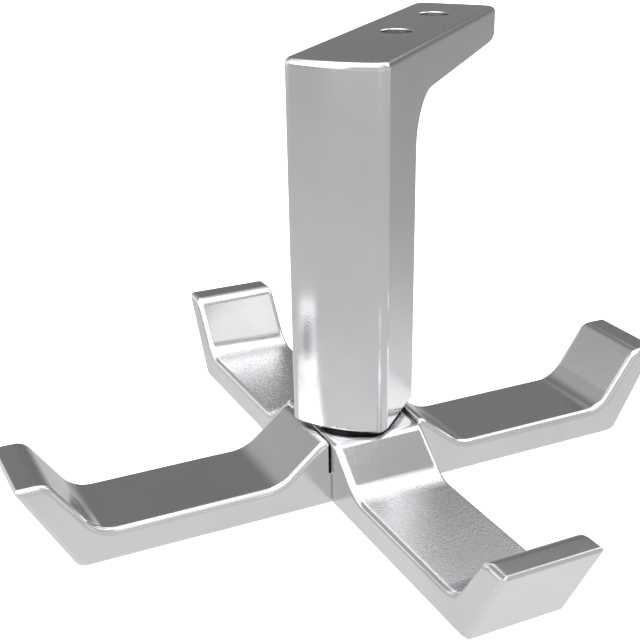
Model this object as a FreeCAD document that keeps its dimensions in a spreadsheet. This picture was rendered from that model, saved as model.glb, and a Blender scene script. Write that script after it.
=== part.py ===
import FreeCAD, Part
import math
import os
import Sketcher

# Swivel ceiling hook: a cast angle bracket whose foot is screwed up to a ceiling, and under its post
# a cross of two double hooks, half-lapped into each other, that turns on one shoulder screw.
# Frame: origin where the swivel axis meets the ceiling face, Z up, foot along +Y, millimetres.

# Driving sizes: name, value, what it measures
sizes = [
    # bracket
    ("post_width", 15.0, "post and foot, side to side"),
    ("post_length", 54.3, "ceiling face to the post's lower end"),
    ("post_front", 8.1, "swivel axis to the crown of the bowed front"),
    ("post_back", 7.1, "swivel axis to the flat back"),
    ("bow_radius", 20.0, "bow of the front face, in plan"),
    ("front_corner", 1.8, "rounding between the front and the sides"),
    ("back_bevel", 0.4, "bevel down the back, round the throat and under the foot"),
    ("foot_reach", 54.2, "swivel axis to the end of the foot"),
    ("foot_root", 7.25, "foot thickness where its underside would meet the post"),
    ("foot_end", 5.6, "foot thickness where its underside would meet the end"),
    ("foot_corner", 2.5, "rounding of the foot's end, in plan"),
    ("nose_radius", 5.0, "rounding under the foot's end"),
    ("end_face", 1.7, "flat of the foot's end above that rounding"),
    ("throat_radius", 7.5, "hollow curve from the foot into the post"),
    ("top_edge", 0.95, "rounding round the ceiling face"),
    ("end_bevel", 0.5, "bevel round the post's lower end"),
    # screw holes of the foot
    ("hole_width", 5.0, "clear hole for a wood screw"),
    ("hole_first", 20.0, "swivel axis to the nearer hole"),
    ("hole_pitch", 20.0, "hole to hole"),
    ("hole_break", 0.12, "edge break at the ceiling face"),
    ("sink_width", 9.6, "countersink across, at the foot's underside"),
    ("sink_angle", 45.0, "countersink, half angle"),
    # cross of double hooks
    ("arm_width", 15.0, "each double hook, side to side"),
    ("cross_height", 10.7, "flat underside to the flat top of the hub"),
    ("floor_thick", 4.95, "thickness under the trough"),
    ("hub_half", 8.8, "axis to the ridge where the hub's slope begins"),
    ("hub_slope", 40.0, "slope of the hub down to the trough, from level"),
    ("ridge_radius", 2.0, "rounding of that ridge"),
    ("hub_root", 6.0, "hollow curve from the slope into the trough"),
    ("arm_reach", 53.85, "axis to the outermost edge of a tip"),
    ("tip_height", 14.15, "underside to the top of a tip"),
    ("tip_top", 4.65, "flat width on top of a tip"),
    ("tip_slope", 55.8, "lean of the tip's inner face, from level"),
    ("tip_back_slope", 61.7, "lean of the tip's outer face, from level"),
    ("tip_root", 5.2, "hollow curve from the trough into the tip"),
    ("crest_radius", 2.6, "rounding on the tip's inner edge"),
    ("heel_radius", 2.0, "rounding under the tip"),
    ("arm_edge", 0.95, "rounding along the upper edges, over hub and tips"),
    ("outer_bevel", 0.55, "bevel along the lower edges and round the outsides of the tips"),
    ("lap_gap", 0.15, "clearance on each side of a half-lap"),
    ("lap_bevel", 0.3, "bevel on a half-lap's cheeks"),
    ("cross_angle", 46.7, "turn of the lower hook from the X axis, as pictured"),
    # swivel
    ("washer_thick", 0.5, "friction washer"),
    ("washer_width", 13.0, "friction washer across"),
    ("shoulder_width", 6.0, "running surface of the shoulder screw"),
    ("run_gap", 0.05, "running clearance on the shoulder, on the radius"),
    ("ring_gap", 0.3, "washer and spring clearance on the shoulder, on the radius"),
    ("head_width", 10.0, "screw head across"),
    ("head_height", 2.2, "screw head"),
    ("head_gap", 0.5, "room round the head in its counterbore, on the radius"),
    ("head_sink", 0.3, "head up inside the underside of the cross"),
    ("spring_height", 0.7, "disc spring as fitted"),
    ("spring_thick", 0.4, "disc spring's sheet"),
    ("spring_width", 9.6, "disc spring across"),
    ("thread_width", 4.0, "threaded end, over the thread"),
    ("thread_length", 10.0, "threaded end, undercut included"),
    ("thread_gap", 0.05, "thread to tapped hole, on the radius"),
    ("relief_width", 3.0, "undercut between shoulder and thread"),
    ("relief_length", 1.0, "length of that undercut"),
    ("turned_break", 0.2, "edge break at the screw and its bores"),
    ("drill_rest", 2.0, "tapped hole beyond the screw"),
    ("drill_point", 59.0, "drilled end, half angle"),
    ("key_width", 3.0, "hexagon socket across flats"),
    ("key_depth", 1.4, "hexagon socket"),
    # drawing aid
    ("cut_past", 5.0, "how far a cut runs past the metal"),
]

doc = FreeCAD.newDocument("swivel_ceiling_hook")
dims = doc.addObject("Spreadsheet::Sheet", "dims")
for row, (name, value, meaning) in enumerate(sizes, 1):
    dims.set(f"A{row}", meaning)
    dims.set(f"B{row}", str(value))
    dims.setAlias(f"B{row}", name)
doc.recompute()


# Small helpers: values, bodies, sketches, features and edges

def worked_out(expression):
    return float(dims.evalExpression(expression))


def vec(x, y, z=0.0):
    return FreeCAD.Vector(x, y, z)


x_axis = vec(1, 0)
y_axis = vec(0, 1)
z_axis = vec(0, 0, 1)


def new_body(label, **placement):
    body = doc.addObject("PartDesign::Body", label)
    body.Label = label
    for key, expression in placement.items():
        body.setExpression("Placement." + key.replace("_", "."), expression)
    return body


def origin_part(body, role):
    return next(part for part in body.Origin.OriginFeatures if part.Role == role)


def new_sketch(body, name, plane, height=None):
    sketch = body.newObject("Sketcher::SketchObject", name)
    sketch.AttachmentSupport = [(origin_part(body, plane), "")]
    sketch.MapMode = "FlatFace"
    if height:
        sketch.setExpression("AttachmentOffset.Base.z", height)
    return sketch


def rule(sketch, *parts):
    return sketch.addConstraint(Sketcher.Constraint(*parts))


def driven(sketch, name, expression, *parts):
    # a size of the sketch, kept equal to an expression of the sheet
    unit = math.radians(1) if parts[0] == "Angle" else 1.0
    number = rule(sketch, *parts, worked_out(expression) * unit)
    sketch.renameConstraint(number, name)
    sketch.setExpression("Constraints." + name, expression)


def joined(sketch, first, last):
    # the sides first..last make a closed loop
    for side in range(first, last):
        rule(sketch, "Coincident", side, 2, side + 1, 1)
    rule(sketch, "Coincident", last, 2, first, 1)


def draw_sides(sketch, points):
    for start, end in zip(points, points[1:] + points[:1]):
        sketch.addGeometry(Part.LineSegment(start, end), False)
    joined(sketch, 0, len(points) - 1)


def draw_section(sketch, corners):
    # a closed outline whose corners are each given by two expressions
    draw_sides(sketch, [vec(worked_out(across), worked_out(up)) for across, up in corners])
    for number, (across, up) in enumerate(corners):
        driven(sketch, f"across_{number}", across, "DistanceX", -1, 1, number, 1)
        driven(sketch, f"up_{number}", up, "DistanceY", -1, 1, number, 1)


def draw_circle(sketch, name, diameter):
    sketch.addGeometry(Part.Circle(vec(0, 0), z_axis, worked_out(diameter) / 2), False)
    circle = sketch.GeometryCount - 1
    rule(sketch, "Coincident", circle, 3, -1, 1)
    driven(sketch, name, diameter, "Diameter", circle)


def feature(body, kind, name, sketch, bound=(), **settings):
    before = body.Shape.Volume if body.Tip else 0.0
    made = body.newObject("PartDesign::" + kind, name)
    made.Profile = sketch
    for key, value in settings.items():
        setattr(made, key, value)
    for key, expression in dict(bound).items():
        made.setExpression(key, expression)
    doc.recompute()
    removes = kind in ("Pocket", "Groove")
    if removes == (body.Shape.Volume >= before):
        raise ValueError(f"{name} changes nothing")
    return made


def middle(edge):
    return edge.valueAt(0.5 * (edge.FirstParameter + edge.LastParameter))


def same(a, b):
    return abs(a - b) < 0.01


def along(edge, axis):
    return edge.Curve.TypeId == "Part::GeomLine" and abs(edge.Curve.Direction.dot(axis)) > 0.999


def dress_edges(body, kind, name, size, wanted):
    base = body.Tip
    names = [f"Edge{number}" for number, edge in enumerate(base.Shape.Edges, 1) if wanted(edge)]
    dressed = body.newObject("PartDesign::" + kind, name)
    dressed.Base = (base, names)
    dressed.setExpression("Radius" if kind == "Fillet" else "Size", size)
    doc.recompute()


def round_edges(body, name, radius, wanted):
    dress_edges(body, "Fillet", name, radius, wanted)


def bevel_edges(body, name, width, wanted):
    dress_edges(body, "Chamfer", name, width, wanted)


# Bracket: the plan of post and foot, drawn down to the post's length, then cut from the side

bracket = new_body("bracket")
half_post = worked_out("dims.post_width / 2")
bow_radius = worked_out("dims.bow_radius")
bow_middle = worked_out("dims.bow_radius - dims.post_front")
foot_reach = worked_out("dims.foot_reach")
bow_angle = math.asin(half_post / bow_radius)
side_start = bow_middle - bow_radius * math.cos(bow_angle)

plan = new_sketch(bracket, "plan", "XY_Plane")
plan_corners = [vec(half_post, side_start), vec(half_post, foot_reach),
                vec(-half_post, foot_reach), vec(-half_post, side_start)]
for start, end in zip(plan_corners, plan_corners[1:]):
    plan.addGeometry(Part.LineSegment(start, end), False)
plan.addGeometry(Part.ArcOfCircle(Part.Circle(vec(0, bow_middle), z_axis, bow_radius),
                                  -math.pi / 2 - bow_angle, -math.pi / 2 + bow_angle), False)
joined(plan, 0, 3)
rule(plan, "Vertical", 0)
rule(plan, "Horizontal", 1)
rule(plan, "Vertical", 2)
rule(plan, "PointOnObject", 3, 3, -2)
driven(plan, "right_side", "dims.post_width / 2", "DistanceX", -1, 1, 0, 1)
driven(plan, "left_side", "dims.post_width / 2", "DistanceX", 2, 1, -1, 1)
driven(plan, "reach", "dims.foot_reach", "DistanceY", -1, 1, 0, 2)
driven(plan, "bow", "dims.bow_radius", "Radius", 3)
driven(plan, "bow_middle", "dims.bow_radius - dims.post_front", "DistanceY", -1, 1, 3, 3)
feature(bracket, "Pad", "post_and_foot", plan, {"Length": "dims.post_length"}, Reversed=True)


def upright_at(y):
    return lambda edge: along(edge, z_axis) and same(middle(edge).y, y)


def level_at(z):
    return lambda edge: same(edge.BoundBox.ZMin, z) and same(edge.BoundBox.ZMax, z)


round_edges(bracket, "front_corners", "dims.front_corner", upright_at(side_start))
round_edges(bracket, "foot_corners", "dims.foot_corner", upright_at(foot_reach))

# The side cut runs down the back, round the throat, along the tapered underside and round the nose
back = worked_out("dims.post_back")
root = worked_out("dims.foot_root")
end = worked_out("dims.foot_end")
throat = worked_out("dims.throat_radius")
nose = worked_out("dims.nose_radius")
end_face = worked_out("dims.end_face")
below = -worked_out("dims.post_length + dims.cut_past")
beyond = worked_out("dims.foot_reach + dims.cut_past")
taper = math.atan2(root - end, foot_reach - back)
throat_middle = vec(back + throat, -root + throat * math.tan(taper) - throat / math.cos(taper))
nose_middle = vec(foot_reach - nose, -end - nose * math.tan(taper) + nose / math.cos(taper))
square_off = vec(-math.sin(taper), math.cos(taper))
underside_start = throat_middle + square_off * throat
underside_end = nose_middle - square_off * nose

side_cut = new_sketch(bracket, "side_cut", "YZ_Plane")
side_cut.addGeometry(Part.LineSegment(vec(back, below), vec(back, throat_middle.y)), False)
side_cut.addGeometry(Part.ArcOfCircle(Part.Circle(throat_middle, z_axis, throat),
                                      math.pi / 2 + taper, math.pi), False)
side_cut.addGeometry(Part.LineSegment(underside_start, underside_end), False)
side_cut.addGeometry(Part.ArcOfCircle(Part.Circle(nose_middle, z_axis, nose),
                                      -math.pi / 2 + taper, 0), False)
side_cut.addGeometry(Part.LineSegment(vec(foot_reach, -end_face), vec(beyond, -end_face)), False)
side_cut.addGeometry(Part.LineSegment(vec(beyond, -end_face), vec(beyond, below)), False)
side_cut.addGeometry(Part.LineSegment(vec(beyond, below), vec(back, below)), False)
side_cut.addGeometry(Part.LineSegment(vec(back, -root), vec(foot_reach, -end)), True)
rule(side_cut, "Tangent", 0, 2, 1, 2)
rule(side_cut, "Tangent", 1, 1, 2, 1)
rule(side_cut, "Tangent", 2, 2, 3, 1)
for side, point in ((3, 4), (4, 5), (5, 6), (6, 0)):
    rule(side_cut, "Coincident", side, 2, point, 1)
for side in (0, 5):
    rule(side_cut, "Vertical", side)
for side in (4, 6):
    rule(side_cut, "Horizontal", side)
rule(side_cut, "PointOnObject", 2, 1, 7)
rule(side_cut, "PointOnObject", 2, 2, 7)
driven(side_cut, "back", "dims.post_back", "DistanceX", -1, 1, 0, 1)
driven(side_cut, "throat", "dims.throat_radius", "Radius", 1)
driven(side_cut, "nose", "dims.nose_radius", "Radius", 3)
driven(side_cut, "reach", "dims.foot_reach", "DistanceX", -1, 1, 3, 2)
driven(side_cut, "end_face", "dims.end_face", "DistanceY", 3, 2, -1, 1)
driven(side_cut, "root_out", "dims.post_back", "DistanceX", -1, 1, 7, 1)
driven(side_cut, "root_down", "dims.foot_root", "DistanceY", 7, 1, -1, 1)
driven(side_cut, "end_out", "dims.foot_reach", "DistanceX", -1, 1, 7, 2)
driven(side_cut, "end_down", "dims.foot_end", "DistanceY", 7, 2, -1, 1)
driven(side_cut, "beyond", "dims.foot_reach + dims.cut_past", "DistanceX", -1, 1, 5, 1)
driven(side_cut, "below", "dims.post_length + dims.cut_past", "DistanceY", 5, 2, -1, 1)
feature(bracket, "Pocket", "under_foot", side_cut, Type="ThroughAll", Midplane=True)

bevel_edges(bracket, "back_bevels", "dims.back_bevel", upright_at(back))
round_edges(bracket, "top_rounding", "dims.top_edge", level_at(0))
bevel_edges(bracket, "end_bevels", "dims.end_bevel", level_at(-worked_out("dims.post_length")))

# Two screw holes through the foot, each countersunk to the foot's thickness where it stands
hole = "dims.hole_width / 2"
sink = "dims.sink_width / 2"
lean = "(dims.foot_root - dims.foot_end) / (dims.foot_reach - dims.post_back)"
for number in (0, 1):
    place = f"(dims.hole_first + {number} * dims.hole_pitch)"
    thick = f"(dims.foot_root - ({place} - dims.post_back) * {lean})"
    hole_section = new_sketch(bracket, f"hole_section_{number + 1}", "YZ_Plane")
    draw_section(hole_section, [
        (place, "dims.cut_past"),
        (f"{place} + {hole} + dims.hole_break + dims.cut_past", "dims.cut_past"),
        (f"{place} + {hole}", "-dims.hole_break"),
        (f"{place} + {hole}", f"-{thick} + ({sink} - {hole}) / tan(dims.sink_angle * 1deg)"),
        (f"{place} + {sink} + dims.cut_past * tan(dims.sink_angle * 1deg)", f"-{thick} - dims.cut_past"),
        (place, f"-{thick} - dims.cut_past"),
    ])
    feature(bracket, "Groove", f"screw_hole_{number + 1}", hole_section,
            ReferenceAxis=(hole_section, ["Edge6"]))

# The tapped hole up the post's lower end
tapped = "(dims.thread_width / 2 + dims.thread_gap)"
tapped_section = new_sketch(bracket, "tapped_section", "XZ_Plane")
draw_section(tapped_section, [
    ("0", "-dims.post_length - dims.cut_past"),
    (f"{tapped} + dims.turned_break + dims.cut_past", "-dims.post_length - dims.cut_past"),
    (tapped, "-dims.post_length + dims.turned_break"),
    (tapped, "-dims.post_length + dims.thread_length + dims.drill_rest"),
    ("0", f"-dims.post_length + dims.thread_length + dims.drill_rest"
          f" + {tapped} / tan(dims.drill_point * 1deg)"),
])
feature(bracket, "Groove", "tapped_hole", tapped_section, ReferenceAxis=(tapped_section, ["V_Axis"]))


# Double hooks: one arm's side outline, drawn across its width and mirrored, then rounded and lapped

cross_base = "-(dims.post_length + dims.washer_thick + dims.cross_height)"
half_arm = worked_out("dims.arm_width / 2")
hub_half = worked_out("dims.hub_half")
hub_top = worked_out("dims.cross_height")
floor = worked_out("dims.floor_thick")
arm_reach = worked_out("dims.arm_reach")
tip_height = worked_out("dims.tip_height")
crest = worked_out("dims.arm_reach - dims.tip_top")
slope_foot = hub_half + worked_out("(dims.cross_height - dims.floor_thick) / tan(dims.hub_slope * 1deg)")
tip_foot = crest - worked_out("(dims.tip_height - dims.floor_thick) / tan(dims.tip_slope * 1deg)")
back_slope = math.radians(worked_out("dims.tip_back_slope"))
heel = arm_reach - tip_height / math.tan(back_slope)
outer_bevel = worked_out("dims.outer_bevel")


def across_at(reach, height):
    # edges across the hook, one on each arm
    def wanted(edge):
        point = middle(edge)
        return along(edge, y_axis) and same(abs(point.x), reach) and same(point.z, height)
    return wanted


def side_edges(edge):
    return same(edge.BoundBox.YLength, 0) and same(abs(middle(edge).y), half_arm)


def from_back(point):
    # how far inside the back of its tip a point lies
    return (heel - abs(point.x)) * math.sin(back_slope) + point.z * math.cos(back_slope)


def outer_edges(edge):
    # along the underside, round the heels, up the backs of the tips and across their outer edges
    point = middle(edge)
    outside = point.z < floor / 2 or same(from_back(point), 0)
    return side_edges(edge) and outside or across_at(arm_reach, tip_height)(edge)


def upper_edges(edge):
    # over the hub, through the troughs and over the crests
    point = middle(edge)
    beyond_bevels = from_back(point) > outer_bevel and not same(from_back(point), outer_bevel)
    return side_edges(edge) and point.z > floor / 2 and beyond_bevels


def cheek_edges(edge):
    # round the ends of the arms that a half-lap leaves, apart from the one in its root
    point = middle(edge)
    across = same(edge.BoundBox.XLength, 0) and same(abs(point.x), lap_half)
    return across and not same(point.z, lap_height)


def double_hook(label, turn, lap_from):
    body = new_body(label, Base_z=cross_base, Rotation_Angle=turn)
    outline = new_sketch(body, label + "_outline", "XZ_Plane")
    draw_sides(outline, [vec(0, 0), vec(heel, 0), vec(arm_reach, tip_height), vec(crest, tip_height),
                         vec(tip_foot, floor), vec(slope_foot, floor), vec(hub_half, hub_top),
                         vec(0, hub_top)])
    rule(outline, "Coincident", 0, 1, -1, 1)
    for side in (0, 2, 4, 6):
        rule(outline, "Horizontal", side)
    rule(outline, "Vertical", 7)
    driven(outline, "reach", "dims.arm_reach", "DistanceX", -1, 1, 2, 1)
    driven(outline, "tip_height", "dims.tip_height", "DistanceY", -1, 1, 2, 1)
    driven(outline, "tip_top", "dims.tip_top", "DistanceX", 2, 2, 2, 1)
    driven(outline, "tip_back", "dims.tip_back_slope", "Angle", 0, 1, 1, 1)
    driven(outline, "tip_face", "dims.tip_slope", "Angle", 0, 1, 3, 2)
    driven(outline, "floor", "dims.floor_thick", "DistanceY", -1, 1, 4, 1)
    driven(outline, "hub_lean", "dims.hub_slope", "Angle", 5, 1, 0, 2)
    driven(outline, "hub_half", "dims.hub_half", "DistanceX", -1, 1, 6, 1)
    driven(outline, "hub_top", "dims.cross_height", "DistanceY", -1, 1, 6, 1)
    arm = feature(body, "Pad", label + "_arm", outline, {"Length": "dims.arm_width"}, Midplane=True)
    other_arm = body.newObject("PartDesign::Mirrored", label + "_other_arm")
    other_arm.Originals = [arm]
    other_arm.MirrorPlane = (origin_part(body, "YZ_Plane"), [""])
    body.Tip = other_arm
    doc.recompute()
    round_edges(body, label + "_heels", "dims.heel_radius", across_at(heel, 0))
    round_edges(body, label + "_crests", "dims.crest_radius", across_at(crest, tip_height))
    round_edges(body, label + "_tip_roots", "dims.tip_root", across_at(tip_foot, floor))
    round_edges(body, label + "_hub_roots", "dims.hub_root", across_at(slope_foot, floor))
    round_edges(body, label + "_ridges", "dims.ridge_radius", across_at(hub_half, hub_top))
    bevel_edges(body, label + "_outer_bevels", "dims.outer_bevel", outer_edges)
    round_edges(body, label + "_upper_edges", "dims.arm_edge", upper_edges)
    # the half-lap, from above or from below
    lap = new_sketch(body, label + "_lap", "XZ_Plane")
    draw_section(lap, [(f"-{lap_reach}", lap_from), (lap_reach, lap_from),
                       (lap_reach, "dims.cross_height / 2"), (f"-{lap_reach}", "dims.cross_height / 2")])
    feature(body, "Pocket", label + "_half_lap", lap, Type="ThroughAll", Midplane=True)
    bevel_edges(body, label + "_cheek_bevels", "dims.lap_bevel", cheek_edges)
    # the running bore
    bore = new_sketch(body, label + "_bore_plan", "XY_Plane")
    draw_circle(bore, "bore", "dims.shoulder_width + 2 * dims.run_gap")
    feature(body, "Pocket", label + "_bore", bore, Type="ThroughAll", Midplane=True)
    return body


lap_reach = "(dims.arm_width / 2 + dims.lap_gap)"
lap_half = worked_out(lap_reach)
lap_height = hub_top / 2
double_hook("upper_double_hook", "dims.cross_angle - 90", "-dims.cut_past")
lower_hook = double_hook("lower_double_hook", "dims.cross_angle", "dims.cross_height + dims.cut_past")

# The lower hook's counterbore takes the screw head and its spring
seat_depth = "(dims.head_sink + dims.head_height + dims.spring_height)"
counterbore = new_sketch(lower_hook, "counterbore_plan", "XY_Plane")
draw_circle(counterbore, "counterbore", "dims.head_width + 2 * dims.head_gap")
feature(lower_hook, "Pocket", "counterbore", counterbore, {"Length": seat_depth}, Reversed=True)


# Swivel: washer, shoulder screw and spring, each turned from a half section

def turned_piece(label, height, corners):
    body = new_body(label, Base_z=height)
    section = new_sketch(body, label + "_section", "XZ_Plane")
    draw_section(section, corners)
    feature(body, "Revolution", label + "_turned", section, ReferenceAxis=(section, ["V_Axis"]))
    return body


inside = "dims.shoulder_width / 2 + dims.ring_gap"
turned_piece("friction_washer", "-(dims.post_length + dims.washer_thick)", [
    (inside, "0"),
    ("dims.washer_width / 2", "0"),
    ("dims.washer_width / 2", "dims.washer_thick"),
    (inside, "dims.washer_thick"),
])

# The shoulder stops against the post, so the head stays its spring's height below the counterbore
shoulder_end = "-(dims.washer_thick + dims.cross_height - dims.head_sink - dims.head_height)"
head_end = f"({shoulder_end} - dims.head_height)"
shoulder = "dims.shoulder_width / 2"
head = "dims.head_width / 2"
thread = "dims.thread_width / 2"
chip = "dims.turned_break"
shoulder_screw = turned_piece("shoulder_screw", "-dims.post_length", [
    ("0", head_end),
    (f"{head} - {chip}", head_end),
    (head, f"{head_end} + {chip}"),
    (head, f"{shoulder_end} - {chip}"),
    (f"{head} - {chip}", shoulder_end),
    (shoulder, shoulder_end),
    (shoulder, f"-{chip}"),
    (f"{shoulder} - {chip}", "0"),
    ("dims.relief_width / 2", "0"),
    ("dims.relief_width / 2", "dims.relief_length"),
    (thread, f"dims.relief_length + {thread} - dims.relief_width / 2"),
    (thread, f"dims.thread_length - {chip}"),
    (f"{thread} - {chip}", "dims.thread_length"),
    ("0", "dims.thread_length"),
])
socket_plan = new_sketch(shoulder_screw, "socket_plan", "XY_Plane", head_end)
corner = worked_out("dims.key_width / sqrt(3)")
draw_sides(socket_plan, [vec(corner * math.cos(turn), corner * math.sin(turn))
                         for turn in [math.radians(60 * number) for number in range(6)]])
for side in range(1, 6):
    rule(socket_plan, "Equal", 0, side)
socket_plan.addGeometry(Part.Circle(vec(0, 0), z_axis, corner), True)
rule(socket_plan, "Coincident", 6, 3, -1, 1)
for side in range(6):
    rule(socket_plan, "PointOnObject", side, 1, 6)
rule(socket_plan, "PointOnObject", 0, 1, -1)
driven(socket_plan, "corners", "2 * dims.key_width / sqrt(3)", "Diameter", 6)
feature(shoulder_screw, "Pocket", "socket", socket_plan, {"Length": "dims.key_depth"}, Reversed=True)

spring_place = f"-dims.post_length + {shoulder_end}"
turned_piece("disc_spring", spring_place, [
    (inside, "dims.spring_height - dims.spring_thick"),
    ("dims.spring_width / 2", "0"),
    ("dims.spring_width / 2", "dims.spring_thick"),
    (inside, "dims.spring_height"),
])

# Nothing is written unless every feature and every piece is sound
for thing in doc.Objects:
    if {"Invalid", "Error"} & set(thing.State):
        raise ValueError(f"{thing.Name} failed: {thing.State}")
pieces = [thing for thing in doc.Objects if thing.TypeId == "PartDesign::Body"]
for piece in pieces:
    shape = piece.Shape
    if shape.isNull() or not shape.isValid() or len(shape.Solids) != 1:
        raise ValueError(f"{piece.Label} is not one sound solid")
os.makedirs("parts", exist_ok=True)
for piece in pieces:
    piece.Shape.exportStep(os.path.join("parts", piece.Label + ".step"))
    print(piece.Label, round(piece.Shape.Volume, 2), "mm3", piece.Shape.BoundBox)
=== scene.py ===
import math

import bpy
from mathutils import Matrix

# Swivel ceiling hook: a cast bracket and a cross of two double hooks, in satin plated metal.
# Metres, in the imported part's own frame: swivel axis up Z, ceiling face at height 0, foot along +Y.

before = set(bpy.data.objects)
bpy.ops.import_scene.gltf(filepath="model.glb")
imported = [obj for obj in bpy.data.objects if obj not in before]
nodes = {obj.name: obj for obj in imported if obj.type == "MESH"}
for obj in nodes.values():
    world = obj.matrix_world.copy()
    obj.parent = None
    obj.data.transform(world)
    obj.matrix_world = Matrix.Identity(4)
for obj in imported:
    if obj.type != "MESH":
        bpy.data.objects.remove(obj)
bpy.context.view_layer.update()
print("frame loaded:", ", ".join(sorted(nodes)))


class Wire:
    # a node's output that can be reckoned with: each sum, product or comparison adds its Math node
    def __init__(self, bench, socket):
        self.bench = bench
        self.socket = socket

    def __add__(self, other):
        return self.bench.maths("ADD", self, other)

    def __radd__(self, other):
        return self.bench.maths("ADD", other, self)

    def __sub__(self, other):
        return self.bench.maths("SUBTRACT", self, other)

    def __rsub__(self, other):
        return self.bench.maths("SUBTRACT", other, self)

    def __mul__(self, other):
        return self.bench.maths("MULTIPLY", self, other)

    def __rmul__(self, other):
        return self.bench.maths("MULTIPLY", other, self)

    def __lt__(self, other):
        return self.bench.maths("LESS_THAN", self, other)

    def __gt__(self, other):
        return self.bench.maths("GREATER_THAN", self, other)

    def __abs__(self):
        return self.bench.maths("ABSOLUTE", self)

    def smooth(self, start, end):
        # 0 at start, 1 at end, with a soft step between them; start may be the larger one
        return self.bench.add("ShaderNodeMapRange", {"interpolation_type": "SMOOTHSTEP"},
                              {"Value": self, "From Min": start, "From Max": end})


class Bench:
    # the node tree of one material or of the surround
    def __init__(self, owner):
        owner.use_nodes = True
        self.tree = owner.node_tree
        self.tree.nodes.clear()

    def add(self, kind, settings=None, sockets=None, output=0):
        node = self.tree.nodes.new(kind)
        for key, value in (settings or {}).items():
            if key == "stops":
                self.setStops(node.color_ramp, value)
            else:
                setattr(node, key, value)
        for key, value in (sockets or {}).items():
            if isinstance(value, Wire):
                self.tree.links.new(value.socket, node.inputs[key])
            else:
                node.inputs[key].default_value = value
        return Wire(self, node.outputs[output]) if node.outputs else None

    def setStops(self, ramp, stops):
        while len(ramp.elements) < len(stops):
            ramp.elements.new(1.0)
        for element, (place, grey) in zip(ramp.elements, stops):
            element.position = place
            element.color = (grey, grey, grey, 1.0)

    def maths(self, operation, *values):
        return self.add("ShaderNodeMath", {"operation": operation}, dict(enumerate(values)))

    def vector(self, operation, first, second, output=0):
        return self.add("ShaderNodeVectorMath", {"operation": operation}, {0: first, 1: second}, output)

    def part(self, direction, axis):
        return self.add("ShaderNodeSeparateXYZ", None, {0: direction}, output=axis)

    def noise(self, where, size, detail, seed):
        # cells about `size` metres wide, as a number around 0.5
        return self.add("ShaderNodeTexNoise", {"noise_dimensions": "4D"},
                        {"Vector": where, "W": seed, "Scale": 1.0 / size, "Detail": detail,
                         "Roughness": 0.55})

    def fromAxis(self, where, across=0.0, along=0.0):
        # how far a point lies from the upright line through (across, along)
        flat = self.vector("MULTIPLY", where, (1.0, 1.0, 0.0))
        return self.vector("DISTANCE", flat, (across, along, 0.0), output="Value")

    def rings(self, distance, pitch):
        return self.maths("SINE", distance * (2.0 * math.pi / pitch))

    def blend(self, mask, first, second):
        # two colours or colour wires, the second where the mask is 1
        return self.add("ShaderNodeMix", {"data_type": "RGBA"},
                        {"Factor": mask, 6: first, 7: second}, output=2)

    def turn(self, mask, first, second):
        # two directions, the second where the mask is 1
        return self.add("ShaderNodeMix", {"data_type": "VECTOR"},
                        {"Factor": mask, 4: first, 5: second}, output=1)

    def relief(self, height, normal=None):
        sockets = {"Strength": 1.0, "Distance": 1.0, "Height": height}
        if normal:
            sockets["Normal"] = normal
        return self.add("ShaderNodeBump", None, sockets)

    def paint(self, colour, metallic, roughness, normal):
        surface = self.add("ShaderNodeBsdfPrincipled", None,
                           {"Base Color": colour, "Metallic": metallic, "Roughness": roughness,
                            "Normal": normal})
        self.add("ShaderNodeOutputMaterial", None, {"Surface": surface})


# Satin plated die casting, shared by the bracket and both double hooks.
plating = {
    "colour": (0.70, 0.70, 0.71, 1.0),         # seen straight on
    "cloudColour": (0.66, 0.66, 0.675, 1.0),   # where the plating is a little greyer
    "edgeColour": (0.78, 0.78, 0.785, 1.0),    # rubbed brighter along the edges
    "cutColour": (0.60, 0.60, 0.61, 1.0),      # drilled and faced places under the plating
    "cloudSize": 0.014,
    "cloudRange": (0.35, 0.7),
    "patchSize": 0.0011,                       # small duller and brighter patches
    "grainSize": 0.00032,                      # the casting's skin, softened by tumbling
    "grainDepth": 0.0000075,
    "fineSize": 0.00016,
    "fineDepth": 0.0000035,
    "rippleSize": 0.0045,                      # slow unevenness of the moulded faces
    "rippleDepth": 0.000016,
    "streakSize": 0.0007,                      # polishing lines down the post
    "streakShortening": 0.015,                 # of height, which draws the lines out
    "streakDepth": 0.0000012,
    "ringPitch": 0.00020,                      # tool marks in the cut places
    "ringDepth": 0.0000020,
    "edgeWidth": 0.00035,                      # how far tumbling has eased the edges
    "edgeRange": (0.004, 0.10),                # how far the eased edge leans where the rub starts and ends
    "edgeRub": 0.35,                           # how much of the rub is even, and how much in patches
    "edgeRubInPatches": 0.5,
    "floorTop": -0.0590,                       # trough floors lie below this height
    "floorStep": 0.0006,
    "floorFacing": (0.85, 0.99),               # how far upwards a floor faces
    "coarseGrain": 3.5,                        # what a coarse floor adds to grain, fine skin and roughness
    "coarseFine": 10.0,
    "coarseDulling": 0.12,
    "roughness": 0.145,
    "roughnessSpread": 0.06,
    "cloudDulling": 0.02,
    "edgeDulling": 0.03,
    "cutDulling": 0.08,
}

# Added to a casting's own seed, so that no two of its patterns fall together.
seedSteps = {"patches": 5.3, "grain": 7.7, "fine": 9.1, "ripple": 3.1, "streaks": 1.9}

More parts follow.
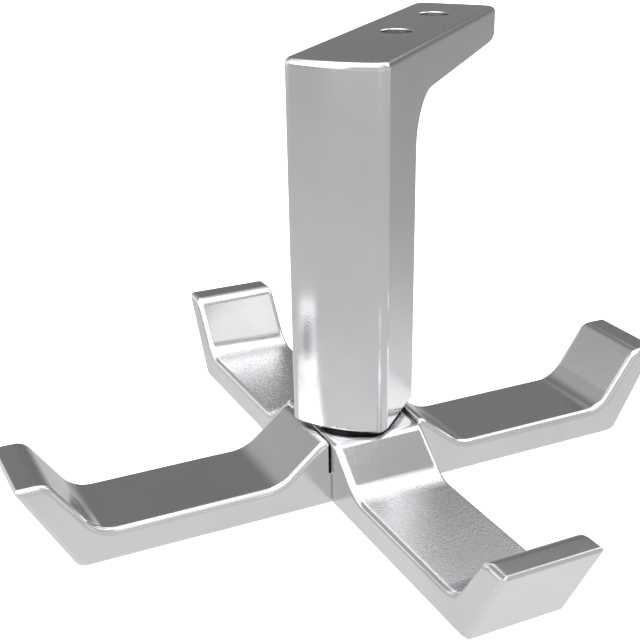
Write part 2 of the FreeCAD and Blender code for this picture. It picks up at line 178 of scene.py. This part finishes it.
# What differs between the three castings. A cut is x, y, radius, lowest and highest z of a place
# that a drill or a facing tool left, where the tumbling and the grain stop.
bracket = {
    "seed": 0.0,
    "streaks": 1.0,         # how strong the polishing lines are
    "coarseFloor": 0.0,     # how much coarser the skin is on the trough floors
    "cuts": [(0.0, 0.020, 0.0031, -0.01, 0.001), (0.0, 0.040, 0.0031, -0.01, 0.001),
             (0.0, 0.020, 0.0052, -0.01, -0.0040), (0.0, 0.040, 0.0052, -0.01, -0.0032)],
}
upperHook = {
    "seed": 11.0,
    "streaks": 0.0,
    "coarseFloor": 1.0,
    "cuts": [],
}
lowerHook = {
    "seed": 23.0,
    "streaks": 0.0,
    "coarseFloor": 0.0,
    "cuts": [(0.0, 0.0, 0.0056, -0.07, -0.0618)],
}


def castingSkin(name, look, own):
    material = bpy.data.materials.new(name)
    bench = Bench(material)
    place = bench.add("ShaderNodeTexCoord", output="Object")
    height = bench.part(place, "Z")
    seed = own["seed"]
    clouds = bench.noise(place, look["cloudSize"], 3.0, seed).smooth(*look["cloudRange"])
    patches = bench.noise(place, look["patchSize"], 3.0, seed + seedSteps["patches"])
    grain = bench.noise(place, look["grainSize"], 1.0, seed + seedSteps["grain"])
    fine = bench.noise(place, look["fineSize"], 1.0, seed + seedSteps["fine"])
    ripple = bench.noise(place, look["rippleSize"], 1.0, seed + seedSteps["ripple"])

    coarse = 0.0
    if own["coarseFloor"]:
        facing = bench.add("ShaderNodeTexCoord", output="Normal")
        upward = bench.part(facing, "Z").smooth(*look["floorFacing"])
        low = height.smooth(look["floorTop"] + look["floorStep"], look["floorTop"] - look["floorStep"])
        coarse = own["coarseFloor"] * (low * upward)
    relief = (grain * ((1.0 + look["coarseGrain"] * coarse) * look["grainDepth"])
              + fine * ((1.0 + look["coarseFine"] * coarse) * look["fineDepth"])
              + ripple * look["rippleDepth"])
    cut = 0.0
    for across, along, reach, lowest, highest in own["cuts"]:
        away = bench.fromAxis(place, across, along)
        inside = (away < reach) * (height > lowest) * (height < highest)
        rings = bench.rings(away + height, look["ringPitch"])
        cut = bench.maths("MAXIMUM", cut, inside)
        relief = relief * (1.0 - inside) + rings * inside * look["ringDepth"]
    if own["streaks"]:
        drawnOut = bench.vector("MULTIPLY", place, (1.0, 1.0, look["streakShortening"]))
        lines = bench.noise(drawnOut, look["streakSize"], 3.0, seed + seedSteps["streaks"])
        relief = relief + lines * (own["streaks"] * look["streakDepth"]) * (1.0 - cut)

    # every edge is eased but those of the cut places
    eased = bench.add("ShaderNodeBevel", {"samples": 6}, {"Radius": look["edgeWidth"]})
    trueNormal = bench.add("ShaderNodeNewGeometry", output="Normal")
    if own["cuts"]:
        eased = bench.turn(cut, eased, trueNormal)
    agreement = bench.vector("DOT_PRODUCT", eased, trueNormal, output="Value")
    edge = (1.0 - agreement).smooth(*look["edgeRange"])

    rub = edge * (look["edgeRub"] + look["edgeRubInPatches"] * patches)
    colour = bench.blend(clouds, look["colour"], look["cloudColour"])
    colour = bench.blend(rub, colour, look["edgeColour"])
    dullness = (look["roughness"] + look["roughnessSpread"] * (grain * 0.5 + patches * 0.5 - 0.5)
                + look["cloudDulling"] * clouds + look["edgeDulling"] * edge
                + look["coarseDulling"] * coarse)
    if own["cuts"]:
        colour = bench.blend(cut, colour, look["cutColour"])
        dullness = dullness + look["cutDulling"] * cut
    bench.paint(colour, 1.0, dullness, bench.relief(relief, eased))
    return material


# Shoulder screw: bright zinc plated steel, with the marks of the lathe round its axis.
screw = {
    "seed": 4.0,
    "colour": (0.62, 0.63, 0.65, 1.0),
    "tint": (0.60, 0.62, 0.60, 1.0),
    "patchSize": 0.0012,
    "patchRange": (0.4, 0.65),
    "roughness": 0.24,
    "roughnessSpread": 0.10,
    "fineSize": 0.0003,
    "fineSpread": 0.06,
    "fineDepth": 0.000002,
    "ringPitch": 0.00022,
    "ringDepth": 0.0000012,
}

# Disc spring: oiled spring steel, darker than the screw, hardly any tool marks.
spring = dict(screw, seed=14.0, colour=(0.33, 0.33, 0.34, 1.0), tint=(0.27, 0.26, 0.25, 1.0),
              roughness=0.34, ringPitch=0.00045, ringDepth=0.0000006)


def turnedMetal(name, look):
    material = bpy.data.materials.new(name)
    bench = Bench(material)
    place = bench.add("ShaderNodeTexCoord", output="Object")
    rings = bench.rings(bench.fromAxis(place) + bench.part(place, "Z"), look["ringPitch"])
    patches = bench.noise(place, look["patchSize"], 3.0, look["seed"])
    fine = bench.noise(place, look["fineSize"], 2.0, look["seed"] + 2.0)
    colour = bench.blend(patches.smooth(*look["patchRange"]), look["colour"], look["tint"])
    roughness = (look["roughness"] + look["roughnessSpread"] * (patches - 0.5)
                 + look["fineSpread"] * (fine - 0.5))
    relief = rings * look["ringDepth"] + fine * look["fineDepth"]
    bench.paint(colour, 1.0, roughness, bench.relief(relief))
    return material


# Friction washer: black nylon, rubbed a little shinier in patches.
washer = {
    "colour": (0.032, 0.032, 0.034, 1.0),
    "rubbed": (0.045, 0.045, 0.047, 1.0),
    "roughness": 0.5,
    "rubSize": 0.002,
    "rubRange": (0.45, 0.7),
    "rubShine": 0.12,       # taken off the roughness where it is rubbed
    "grainSize": 0.0003,
    "grainDepth": 0.000004,
}


def blackNylon(name, look):
    material = bpy.data.materials.new(name)
    bench = Bench(material)
    place = bench.add("ShaderNodeTexCoord", output="Object")
    grain = bench.noise(place, look["grainSize"], 2.0, 1.0)
    rub = bench.noise(place, look["rubSize"], 3.0, 2.0).smooth(*look["rubRange"])
    colour = bench.blend(rub, look["colour"], look["rubbed"])
    roughness = look["roughness"] - look["rubShine"] * rub
    bench.paint(colour, 0.0, roughness, bench.relief(grain * look["grainDepth"]))
    return material


def dress(node, material):
    data = nodes[node].data
    data.materials.clear()
    data.materials.append(material)


dress("bracket", castingSkin("satin casting, bracket", plating, bracket))
dress("upper_double_hook", castingSkin("satin casting, upper hook", plating, upperHook))
dress("lower_double_hook", castingSkin("satin casting, lower hook", plating, lowerHook))
dress("shoulder_screw", turnedMetal("turned steel", screw))
dress("disc_spring", turnedMetal("spring steel", spring))
dress("friction_washer", blackNylon("black nylon", washer))
print("finishes set on", len(nodes), "pieces")


# Studio: a pale floor far below, and a surround with soft boxes that the metal mirrors.
# Turn is in degrees from +X towards +Y, rise in degrees above level.
studio = {
    "floorHeight": -0.6,
    "floorHalf": 15.0,
    "floorColour": (0.93, 0.93, 0.93, 1.0),
    "floorRoughness": 0.9,
    "floorGlow": 0.75,
    "strength": 4.0,       # brightness that a full white in the ramp and the boxes stands for
    "behind": 1.0,         # brightness of the plain backdrop that the camera sees
    # rise and brightness of the surround between the boxes
    "grade": [(-90.0, 0.95), (-60.0, 0.92), (-40.0, 0.87), (-30.0, 0.86), (-25.0, 0.84), (-23.0, 0.76),
              (-20.0, 0.57), (-17.0, 0.48), (-13.0, 0.43), (-6.0, 0.37), (0.0, 0.33), (8.0, 0.22),
              (58.0, 0.24), (64.0, 1.4), (69.0, 2.7), (90.0, 3.2)],
    # middle (turn, rise), half size, softness of the edges, brightness
    "boxes": {
        "low wall": ((265.0, -11.0), (155.0, 10.0), (12.0, 3.0), 0.18),
        "left": ((201.0, 36.0), (19.0, 27.0), (5.0, 6.0), 1.10),
        "left, level": ((170.0, 5.0), (28.0, 12.0), (10.0, 6.0), 0.70),
        "left haze": ((160.0, 30.0), (22.0, 25.0), (16.0, 10.0), 0.26),
        "front left": ((237.0, 37.0), (22.0, 28.0), (4.0, 6.0), 2.60),
        "front": ((275.0, 51.0), (18.0, 12.0), (6.0, 8.0), 1.20),
        "front right": ((321.0, 50.0), (31.0, 13.0), (4.0, 6.0), 0.64),
        "right wall": ((330.0, 25.0), (84.0, 31.0), (12.0, 7.0), 0.43),
        "right glow": ((315.0, 8.0), (25.0, 16.0), (12.0, 8.0), 0.12),
        "back right": ((60.0, 38.0), (26.0, 16.0), (7.0, 4.0), 1.60),
        "high back right": ((56.0, 56.0), (28.0, 9.0), (6.0, 5.0), 0.90),
        "near the post": ((42.0, 51.0), (10.0, 14.0), (6.0, 6.0), 0.70),
        "high back": ((155.0, 62.0), (36.0, 9.0), (10.0, 4.0), 1.20),
        "back": ((91.0, 48.0), (18.0, 10.0), (8.0, 6.0), 0.70),
    },
}


def layFloor(look):
    half = look["floorHalf"]
    height = look["floorHeight"]
    corners = [(-half, -half, height), (half, -half, height), (half, half, height), (-half, half, height)]
    sheet = bpy.data.meshes.new("floor")
    sheet.from_pydata(corners, [], [(0, 1, 2, 3)])
    floor = bpy.data.objects.new("floor", sheet)
    bpy.context.scene.collection.objects.link(floor)
    material = bpy.data.materials.new("pale floor")
    bench = Bench(material)
    surface = bench.add("ShaderNodeBsdfPrincipled", None,
                        {"Base Color": look["floorColour"], "Roughness": look["floorRoughness"],
                         "Emission Color": (1.0, 1.0, 1.0, 1.0), "Emission Strength": look["floorGlow"]})
    bench.add("ShaderNodeOutputMaterial", None, {"Surface": surface})
    sheet.materials.append(material)
    floor.visible_glossy = False     # the metal mirrors the surround instead


def hangSurround(look):
    world = bpy.data.worlds.new("surround")
    bpy.context.scene.world = world
    bench = Bench(world)
    toDegrees = 180.0 / math.pi
    direction = bench.add("ShaderNodeTexCoord", output="Generated")
    across, along, up = (bench.part(direction, axis) for axis in "XYZ")
    turn = bench.maths("ARCTAN2", along, across) * toDegrees
    rise = bench.maths("ARCSINE", up) * toDegrees

    stops = [(degrees / 180.0 + 0.5, bright / look["strength"]) for degrees, bright in look["grade"]]
    light = bench.add("ShaderNodeValToRGB", {"stops": stops}, {"Fac": rise * (1.0 / 180.0) + 0.5})
    for middle, half, soft, bright in look["boxes"].values():
        aside = abs(bench.maths("WRAP", turn - middle[0], 180.0, -180.0))
        above = abs(rise - middle[1])
        mask = (aside.smooth(half[0] + soft[0], half[0] - soft[0])
                * above.smooth(half[1] + soft[1], half[1] - soft[1]))
        grey = bright / look["strength"]
        glow = bench.blend(mask, (0.0, 0.0, 0.0, 1.0), (grey, grey, grey, 1.0))
        light = bench.vector("ADD", light, glow)
    seen = bench.add("ShaderNodeLightPath", output="Is Camera Ray")
    plain = look["behind"] / look["strength"]
    light = bench.blend(seen, light, (plain, plain, plain, 1.0))
    sky = bench.add("ShaderNodeBackground", None, {"Color": light, "Strength": look["strength"]})
    bench.add("ShaderNodeOutputWorld", None, {"Surface": sky})


layFloor(studio)
hangSurround(studio)
bpy.context.scene.view_settings.view_transform = "Standard"
print("studio set,", len(studio["boxes"]), "soft boxes")


# Camera, at the photograph's angle.
view = {
    "place": (0.05684, -0.15610, 0.02706),
    "turn": 19.4,               # degrees to the left of +Y
    "down": 25.5,               # degrees below level
    "sensor": 36.0,             # millimetres, as is the lens
    "lens": 66.58,
    "shift": (-0.0692, 0.120),
    "nearest": 0.01,            # metres from the camera that still show
}

eye = bpy.data.cameras.new("camera")
eye.sensor_width = view["sensor"]
eye.lens = view["lens"]
eye.shift_x, eye.shift_y = view["shift"]
eye.clip_start = view["nearest"]
camera = bpy.data.objects.new("camera", eye)
camera.location = view["place"]
camera.rotation_euler = (math.radians(90.0 - view["down"]), 0.0, math.radians(view["turn"]))
bpy.context.scene.collection.objects.link(camera)
bpy.context.scene.camera = camera
print("camera set")
